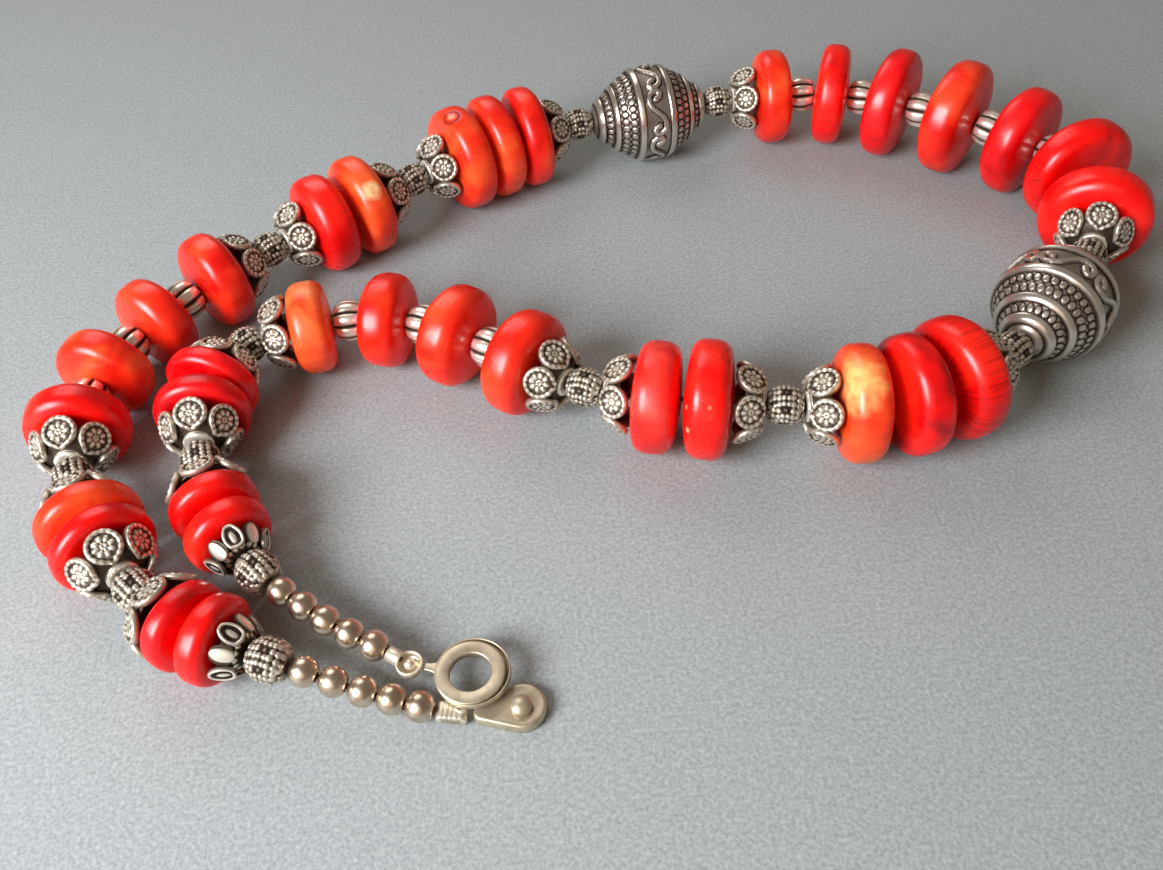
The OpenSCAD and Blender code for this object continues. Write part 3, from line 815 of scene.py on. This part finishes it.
def lotusPetal(kind):
    s = lotusCap
    place = (
        Matrix.Translation((s["reach"], 0, s["middleZ"] - s["depth"]))
        @ Matrix.Rotation(radians(s["tilt"]), 4, "Y")
    )

    def edgeAt(angle):
        lens = sqrt(s["lens"] ** 2 - (s["lensShift"] * cos(angle)) ** 2)
        lens -= s["lensShift"] * abs(sin(angle))
        clip = s["clips"][kind]
        clip = sqrt(clip ** 2 - (s["clipShift"] * sin(angle)) ** 2)
        return min(lens, clip + s["clipShift"] * cos(angle))

    def engraved(x, y, edge):
        inward = edge - hypot(x, y)
        rim = ridge(inward - s["rim"][0], s["rim"][1])
        oval = ridge(hypot(x / s["oval"][0], y / s["oval"][1]), 1.0)
        return s["engraving"] * max(rim, oval) - 0.1, max(0.12, 0.95 * rim, 0.9 * oval)

    def smooth(x, y, edge):
        crest = ridge(hypot(y, 0.56 * x), 1.0)
        return s["crest"] * crest - 0.5, 0.2 + 0.7 * smoothStep(0.2, 0.95, crest)

    def bend(x, y, height):
        return place @ Vector((x, y, height))

    relief = engraved if kind == "engraved" else smooth
    return plate(edgeAt, relief, bend, s["rings"], s["around"], -s["plate"])


# the balls stand on the cup's slope, above its edge and outside its neck
def ballRelief(r, angle, z):
    s = lotusCap
    turn, _ = nearestOf(angle, s["balls"])
    onSlope = z > s["slopeEnd"] and r > s["neck"]
    # measured along the slope, which is longer than the step in radius
    away = hypot(turn * 2.0, (r - s["ballsAt"]) * s["slopeLength"])
    ball = ridge(away, s["ballRadius"]) if onSlope else 0.0
    return s["ballHeight"] * ball, max(0.1, ball)


pairs = lotusCap["pairs"]
petals = [
    (lotusPetal("engraved"), turnsRound(pairs)),
    (lotusPetal("smooth"), turnsRound(pairs, pi / pairs)),
]
cap = capShape(lotusCap, petals, ballRelief)
placed("lotusCaps", cap, capPlaces("L"), antique, "antique_silver", "lotus_caps")

# Barrel beads: rows of grains round both ends, small dark panels between
barrel = {
    "length": 5.15, "core": 2.56, "around": 108, "along": 44, "fullness": 1.2,
    # rows of grains: distance from the middle, number, radius, share of a step turned
    "rows": [
        (-2.36, 13, 0.4, 0.5), (-1.78, 16, 0.46, 0.0), (-1.05, 17, 0.47, 0.5),
        (1.05, 17, 0.47, 0.5), (1.78, 16, 0.46, 0.0), (2.36, 13, 0.4, 0.5),
    ],
    # grains between the rows, with every third left out for a small dark panel with a low boss
    "panelRows": [(-0.36, 0.42), (0.36, 0.42)], "panelGrains": 18, "panelEvery": 3,
    "boss": 0.3, "bossHeight": 0.45,
    "grainHeight": 0.36, "spread": 0.15,
    # collar at both ends, as (radius, distance below the end)
    "collar": [(0.75, 0.08), (1.1, 0.03), (1.35, 0.05)], "flatTo": 1.4,
}


def barrelRelief(r, angle, z):
    if r < barrel["flatTo"]:
        return 0.0, 0.4
    best = 0.0
    for at, count, size, phase in barrel["rows"]:
        turn, column = nearestOf(angle, count, phase * 2 * pi / count)
        # hand-laid grains: each a little out of its place
        off = noise.noise(Vector((column * 1.37, at * 2.9, 0.0))) * 2 * barrel["spread"]
        best = max(best, ridge(hypot(turn * r + off, z - at + off), size * (1 + off)))
    turn, column = nearestOf(angle, barrel["panelGrains"])
    if column % barrel["panelEvery"]:
        for at, size in barrel["panelRows"]:
            best = max(best, ridge(hypot(turn * r, z - at), size))
    else:
        boss = ridge(hypot(turn * r, z), barrel["boss"])
        best = max(best, barrel["bossHeight"] * boss)
    return best * barrel["grainHeight"], 0.12 + 0.54 * best


def barrelShape():
    half = barrel["length"] / 2
    side = []
    for j in range(barrel["along"] + 1):
        z = (half - 0.12) * (1 - 2 * j / barrel["along"])
        side.append((barrel["core"] * sqrt(1 - (z / half / barrel["fullness"]) ** 2), z))
    collar = [(r, half - drop) for r, drop in barrel["collar"]]
    return carvedBead(collar, side, barrel["around"], barrelRelief)


placed("barrelBeads", barrelShape(), placesOf("B"), antique, "antique_silver", "barrel_beads")

# Melon beads: fat ribs with deep grooves between two small collars
melon = {
    "length": 4.6, "radius": 3.25, "bore": 0.75, "collar": 1.55, "ribs": 8, "groove": 0.75,
    "fade": 0.9,  # the grooves end so far from the ends
    "around": 96, "along": 22,
}


def melonRelief(r, angle, z):
    if r < 1.3:
        return 0.0, 0.4
    turn, _ = nearestOf(angle, melon["ribs"])
    rib = ridge(turn, pi / melon["ribs"] * 1.02)
    half = melon["length"] / 2
    fullness = smoothStep(half, half - melon["fade"], abs(z))
    shade = 0.85 * smoothStep(0.3, 1.0, rib) if fullness > 0.1 else 0.6
    return (rib - 1) * melon["groove"] * fullness, shade


def melonShape():
    half = melon["length"] / 2
    side = []
    for j in range(melon["along"] + 1):
        z = half * cos(pi * j / melon["along"])
        swell = sqrt(max(0.0, 1 - (z / half) ** 2)) ** 0.8
        side.append((melon["collar"] + (melon["radius"] - melon["collar"]) * swell, z))
    return carvedBead([(melon["bore"], half - 0.1)], side, melon["around"], melonRelief)


placed("melonBeads", melonShape(), placesOf("M"), antique, "antique_silver", "melon_beads")

# Round beads
roundBead = {"radius": 1.95, "halfLength": 1.73, "bore": 0.75, "around": 40, "along": 20}


def roundShape():
    side = []
    for j in range(roundBead["along"] + 1):
        z = roundBead["halfLength"] * (1 - 2 * j / roundBead["along"])
        side.append((sqrt(roundBead["radius"] ** 2 - z * z), z))
    h, b = roundBead["halfLength"], roundBead["bore"]
    return spun([(b, h - 0.05)] + side + [(b, 0.05 - h)], roundBead["around"])


placed("roundBeads", roundShape(), placesOf("R"), polished, "polished_silver", "round_beads")
print("small silver beads made")

# Large beads
bigBead = {
    "length": 22, "around": 252, "rows": 130, "scrolls": 6, "scrollRadius": 8.4,
    # floor of the pattern: distance from the middle and radius
    "outline": [
        (0, 8.02), (2.2, 7.98), (3.0, 7.85), (3.7, 7.6), (4.45, 7.28), (5.2, 6.85), (5.9, 6.4),
        (6.6, 5.9), (7.2, 5.45), (7.8, 4.95), (8.4, 4.4), (9.0, 3.9), (9.7, 3.4), (10.3, 2.9),
        (10.8, 2.2),
    ],
    "collar": [(0.75, 0.1), (1.25, 0.05), (1.7, 0.12)],  # (radius, distance below the end)
    # smooth raised bands: distance from the middle, half width, height
    "bands": [(2.95, 0.64, 0.6), (7.15, 0.52, 0.45), (9.65, 0.6, 0.55)],
    # rows of flat dots: distance, number round the bead, dot radius, height
    "dots": [(4.4, 36, 0.6, 0.2), (5.82, 32, 0.6, 0.2), (8.38, 24, 0.52, 0.2)],
    # shade of the ground, width of the dark outlines and of the features' slopes
    "ground": 0.56, "ink": 0.2, "slope": 0.15,
    # half of one scroll, from its curled end to the middle of the stem; the rest is its mirror
    "scroll": [
        (-2.45, -0.05), (-2.75, 0.55), (-3.4, 0.85), (-4.0, 0.4), (-3.9, -0.5), (-3.2, -1.2),
        (-2.0, -1.4), (-0.9, -0.95), (0.0, 0.0),
    ],
    "scrollLine": 0.5, "scrollHeight": 0.62, "scrollBand": 2.15, "bulb": 0.6,
}
scrollPath = [Vector(p) for p in bigBead["scroll"]]
scrollPath += [-p for p in reversed(scrollPath[:-1])]


def distanceToPath(p, path):
    best = 9.0
    for a, b in zip(path, path[1:]):
        d = b - a
        t = max(0.0, min(1.0, (p - a).dot(d) / d.length_squared))
        best = min(best, (p - a - d * t).length)
    return best


def bigRelief(r, angle, z):
    b = bigBead
    if r < 1.3:
        return 0.0, 0.3
    away = abs(z)
    # features: distance outside the edge, height, shade of the flat top; each has a dark outline
    features = [(abs(away - at) - width, tall, 0.9) for at, width, tall in b["bands"]]
    for at, count, size, tall in b["dots"]:
        if abs(away - at) < size + b["ink"]:
            turn, _ = nearestOf(angle, count)
            features.append((hypot(turn * r, away - at) - size, tall, 0.74))
    if away < b["scrollBand"]:
        turn, _ = nearestOf(angle, b["scrolls"])
        p = Vector((turn * b["scrollRadius"], z))
        tip = min((p - scrollPath[0]).length, (p - scrollPath[-1]).length)
        beyond = min(distanceToPath(p, scrollPath) - b["scrollLine"], tip - b["bulb"])
        features.append((beyond, b["scrollHeight"], 0.95))
    height, shade, ink = 0.0, b["ground"], 0.0
    for beyond, tall, tone in features:
        h = smoothStep(0.0, -b["slope"], beyond)
        height, shade = max(height, h * tall), max(shade, tone * h)
        ink = max(ink, (1 - smoothStep(0.0, b["ink"], beyond)) * (1 - h))
    return height, shade - (shade - 0.04) * ink


def bigShape():
    keys, radii = zip(*bigBead["outline"])
    side = []
    for j in range(bigBead["rows"] + 1):
        z = keys[-1] * (1 - 2 * j / bigBead["rows"])
        side.append((lookUp(abs(z), keys, radii), z))
    half = bigBead["length"] / 2
    collar = [(r, half - drop) for r, drop in bigBead["collar"]]
    return carvedBead(collar, side, bigBead["around"], bigRelief)


for number, place in enumerate(placesOf("G"), 1):
    name = "largeBead%d" % number
    placed(name, bigShape(), [place], darkAntique, "antique_silver", "large_bead_%d" % number)
print("large beads made")

# Clasp: both halves and the two fittings that hold the thread's ends
clasp = {
    "ringAt": (-23.6, -59.1, 2.4), "coverShift": (-0.3, -0.1, 0.0),
    # the ring's dish, its cover and half of the tongue's outline, which ends at the bead tip
    "dish": [
        (3.02, 0.0), (4.45, 0.0), (4.62, 0.06), (4.7, 0.22), (4.7, 0.8), (4.66, 0.88), (4.58, 0.91),
        (4.5, 0.88), (4.46, 0.8), (4.44, 0.4), (4.36, 0.34), (3.02, 0.34),
    ],
    "cover": [
        (2.6, 0.06), (2.6, 0.82), (2.64, 0.93), (2.76, 0.99), (4.12, 0.99), (4.28, 0.95),
        (4.35, 0.84), (4.32, 0.72), (4.2, 0.66), (3.1, 0.64), (3.0, 0.58), (3.0, 0.06),
    ],
    "ringSteps": 96,
    "tongue": [(4.0, 1.0), (4.9, 0.65), (5.5, 0.5)], "tongueLow": 0.12, "tongueHigh": 0.78,
    "tipAt": (-31.4, -57.5, 3.2), "tipRadius": 1.75,
    "tipCup": [
        (0.0, -1.0), (1.2, -1.0), (1.42, -0.97), (1.6, -0.7), (1.72, -0.3), (1.745, 0.0),
        (1.73, 0.25), (1.66, 0.38), (1.54, 0.4), (1.44, 0.34), (1.4, 0.2), (1.4, -0.35),
        (1.3, -0.48), (0.0, -0.52),
    ],
    "endBeadRadius": 0.75, "endBeadSink": 0.1,
    "plateAt": (-17.8, -63.1, 0.0), "plateNeck": (-22.7, -63.7, 0.0), "plateHeight": 1.5,
    "plateRadius": 3, "neckRadius": 1,
    "studAt": (-17.9, -63.4, 0.0), "studDome": 1.8, "studSink": 0.5,
    "studFoot": [(0.0, -0.15), (1.38, -0.15), (1.43, 0.0), (1.44, 0.3), (1.43, 0.5)],
    "studCrown": (1.36, 1.2, 1.0, 0.7, 0.4, 0.15, 0.0),
    # ribs of the crimp: distance from the strand's end, height of the middle, radius
    "ribs": [
        (0.9, 1.5, 0.75), (1.45, 1.45, 0.8), (2.0, 1.35, 0.85), (2.55, 1.25, 0.9),
        (3.05, 1.15, 0.9),
    ],
    "eye": [
        (0.32, 0.1), (0.62, 0.0), (0.75, 0.14), (0.75, 1.25), (0.62, 1.4), (0.42, 1.4),
        (0.32, 1.28),
    ],
    "eyeAt": (3.2, 0.3, 0.8),
}


def gathered(*parts):
    whole = bmesh.new()
    for part, place in parts:
        addCopies(whole, part, [place])
    return whole


# flat shape of a few corners, raised and with its edges rounded
def raisedShape(corners, low, high, rounding):
    bm = bmesh.new()
    bm.faces.new([bm.verts.new((x, y, low)) for x, y in corners])
    lifted = bmesh.ops.extrude_face_region(bm, geom=list(bm.faces))["geom"]
    bmesh.ops.translate(
        bm, verts=[v for v in lifted if isinstance(v, bmesh.types.BMVert)], vec=(0, 0, high - low)
    )
    bmesh.ops.bevel(
        bm, geom=list(bm.edges), offset=rounding, segments=3, profile=0.5, affect="EDGES",
        material=-1,
    )
    bmesh.ops.recalc_face_normals(bm, faces=bm.faces)
    return bm


# stamped dish with its edge turned up, a flat cover on it and a tongue towards the bead tip
def ringShape():
    at = Vector(clasp["ringAt"])
    cover = at + Vector(clasp["coverShift"])
    way = Vector(clasp["tipAt"]) - at
    reach = hypot(way.x, way.y) - clasp["tipRadius"] - 0.12
    side = clasp["tongue"] + [(reach, 0.5)]
    tongue = raisedShape(
        [(x, -y) for x, y in side] + side[::-1], clasp["tongueLow"], clasp["tongueHigh"], 0.12
    )
    return gathered(
        (spun(clasp["dish"], clasp["ringSteps"]), Matrix.Translation(at)),
        (spun(clasp["cover"], clasp["ringSteps"]), Matrix.Translation(cover)),
        (tongue, Matrix.Translation(at) @ turnTo(way)),
    )


# shallow cup round the end bead, with a collar over the thread
def tipShape():
    at = Vector(clasp["tipAt"])
    way = axisAt(0) - at
    reach = hypot(way.x, way.y) - 0.25
    cup = spun(clasp["tipCup"], 40, closed=False)
    collar = spun(
        [
            (0.7, 1.2), (0.95, 1.2), (1.0, 1.3), (1.0, reach - 0.12), (0.9, reach), (0.75, reach),
            (0.7, 1.3),
        ],
        32,
    )
    turn = turnTo(way) @ Matrix.Rotation(pi / 2, 4, "Y")
    return gathered((cup, Matrix.Translation(at)), (collar, Matrix.Translation(at) @ turn))


def endBeadShape():
    bm = bmesh.new()
    place = Matrix.Translation(Vector(clasp["tipAt"]) - Vector((0, 0, clasp["endBeadSink"])))
    bmesh.ops.create_uvsphere(
        bm, u_segments=24, v_segments=16, radius=clasp["endBeadRadius"], matrix=place
    )
    return bm


# ribs folded round the strand's end, with a small eye towards the stud plate
def crimpShape():
    end = axisAt(ends[-1])
    neck = Vector(clasp["plateNeck"])
    base = Matrix.Translation((end.x, end.y, 0)) @ turnTo(neck - end)
    across = Matrix.Rotation(pi / 2, 4, "X")
    parts = []
    for away, height, radius in clasp["ribs"]:
        side = [(0.0, 1.2), (radius - 0.22, 1.2), (radius - 0.06, 1.12), (radius, 0.9)]
        rib = spun([(r, -z) for r, z in side] + side[::-1], 28, closed=False)
        parts.append((rib, base @ Matrix.Translation((away, 0, height)) @ across))
    parts.append((spun(clasp["eye"], 32), base @ Matrix.Translation(clasp["eyeAt"])))
    return gathered(*parts)


# outline of the drop-shaped plate, made smaller by inset, at height z: wide end, then narrow end
def dropOutline(inset, z):
    at, neck = Vector(clasp["plateAt"]), Vector(clasp["plateNeck"])
    way = neck - at
    big, small = clasp["plateRadius"] - inset, clasp["neckRadius"] - inset
    meet = acos((big - small) / way.length)
    wide = [meet + (2 * pi - 2 * meet) * j / 32 for j in range(33)]
    narrow = [-meet + 2 * meet * j / 12 for j in range(13)]
    points = [Vector((big * cos(a), big * sin(a), z)) for a in wide]
    points += [Vector((way.length + small * cos(a), small * sin(a), z)) for a in narrow]
    return [at + turnTo(way) @ p for p in points]


def studShape():
    top = clasp["plateHeight"]
    # from the hollow under the plate, out round its edge and back over its top: inset and height
    rows = [
        (0.42, top - 0.35), (0.4, 0.1), (0.34, 0.02), (0.2, 0.0), (0.06, 0.03), (0.0, 0.12),
        (0.0, top - 0.42), (0.05, top - 0.2), (0.18, top - 0.05), (0.38, top), (0.6, top - 0.02),
    ]
    middle = (Vector(clasp["plateAt"]) + Vector(clasp["plateNeck"])) / 2
    inner, outer = middle + Vector((0, 0, top - 0.35)), middle + Vector((0, 0, top - 0.02))
    outlines = [[inner]] + [dropOutline(*row) for row in rows] + [[outer]]
    body = lofted(outlines, [0.5] * len(outlines))
    dome, sink = clasp["studDome"], clasp["studSink"]
    crown = [(r, sqrt(dome ** 2 - r * r) - sink - 0.01) for r in clasp["studCrown"]]
    stud = spun(clasp["studFoot"] + crown, 48, closed=False)
    at = Vector(clasp["studAt"]) + Vector((0, 0, top))
    return gathered((body, here[0]), (stud, Matrix.Translation(at)))


for name, part, material, node in (
    ("claspRing", ringShape(), champagne, "clasp_ring"),
    ("claspStud", studShape(), champagne, "stud_plate"),
    ("foldedCrimp", crimpShape(), brightChampagne, "folded_crimp"),
    ("beadTip", tipShape(), brightChampagne, "bead_tip"),
    ("endBead", endBeadShape(), brightChampagne, "bead_tip"),
):
    placed(name, part, here, material, "clasp_metal", node)
print("clasp made")

# The thread keeps the solid's own shape
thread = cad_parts["thread"]
thread.data.materials.clear()
thread.data.materials.append(waxedThread("waxedNylonThread"))

# The cloth that it lies on, as the stage's floor
cloth = {"halfWidth": 1.5, "below": 0.05}  # metres; mm under the discs
floorBm = bmesh.new()
bmesh.ops.create_grid(floorBm, x_segments=2, y_segments=2, size=cloth["halfWidth"])
bmesh.ops.translate(floorBm, verts=floorBm.verts, vec=(0, 0, -cloth["below"] * mm))
floorMesh = toMesh(floorBm, "cloth")
floor = bpy.data.objects.new("cloth", floorMesh)
scene.collection.objects.link(floor)


# Grey table cloth, coated cotton: matt, with a fine pebbled weave about 0.5 mm apart
def coatedCloth(name):
    material, add, place = newMaterial(name)
    weave = add("TexNoise", {"Vector": place, "Scale": perMm(0.5), "Roughness": 0.6})
    colour = add(
        "ValToRGB", {"Fac": weave},
        stops=[(0.25, "#878D8D"), (0.5, "#9AA0A0"), (0.75, "#ADB3B2")],
    )
    bump = add("Bump", {"Height": weave, "Strength": 0.6, "Distance": 0.1 * mm})
    addSurface(add, {"Base Color": colour, "Roughness": 0.75, "Normal": bump})
    return material


floorMesh.materials.append(coatedCloth("coatedCottonCloth"))

# Light: a small bright window low on the left, pale sky high behind the necklace and the warm room
# behind the camera, all aimed at the middle; the world stands for the room's dim walls
lights = {
    "window": {"place": (-0.29, -0.23, 0.23), "size": 0.24, "watts": 3.1, "colour": "#F4F8FF"},
    "sky": {"place": (-0.25, 0.6, 0.6), "size": 0.6, "watts": 2.2, "colour": "#F6F4F4"},
    "room": {"place": (-0.3, -0.7, 0.45), "size": 0.9, "watts": 1.5, "colour": "#FFE6D0"},
}
walls = {"colour": "#DCC8B4", "strength": 0.28}
for name, look in lights.items():
    data = bpy.data.lights.new(name, "AREA")
    data.shape = "DISK"
    data.size = look["size"]
    data.energy = look["watts"]
    data.color = linear(look["colour"])[:3]
    lamp = bpy.data.objects.new(name, data)
    lamp.location = look["place"]
    lamp.rotation_euler = (-Vector(look["place"])).to_track_quat("-Z", "Y").to_euler()
    scene.collection.objects.link(lamp)

world = bpy.data.worlds.new("room")
world.use_nodes = True
background = world.node_tree.nodes["Background"]
background.inputs["Color"].default_value = linear(walls["colour"])
background.inputs["Strength"].default_value = walls["strength"]
scene.world = world
scene.view_settings.view_transform = "Standard"
print("stage and lights set")
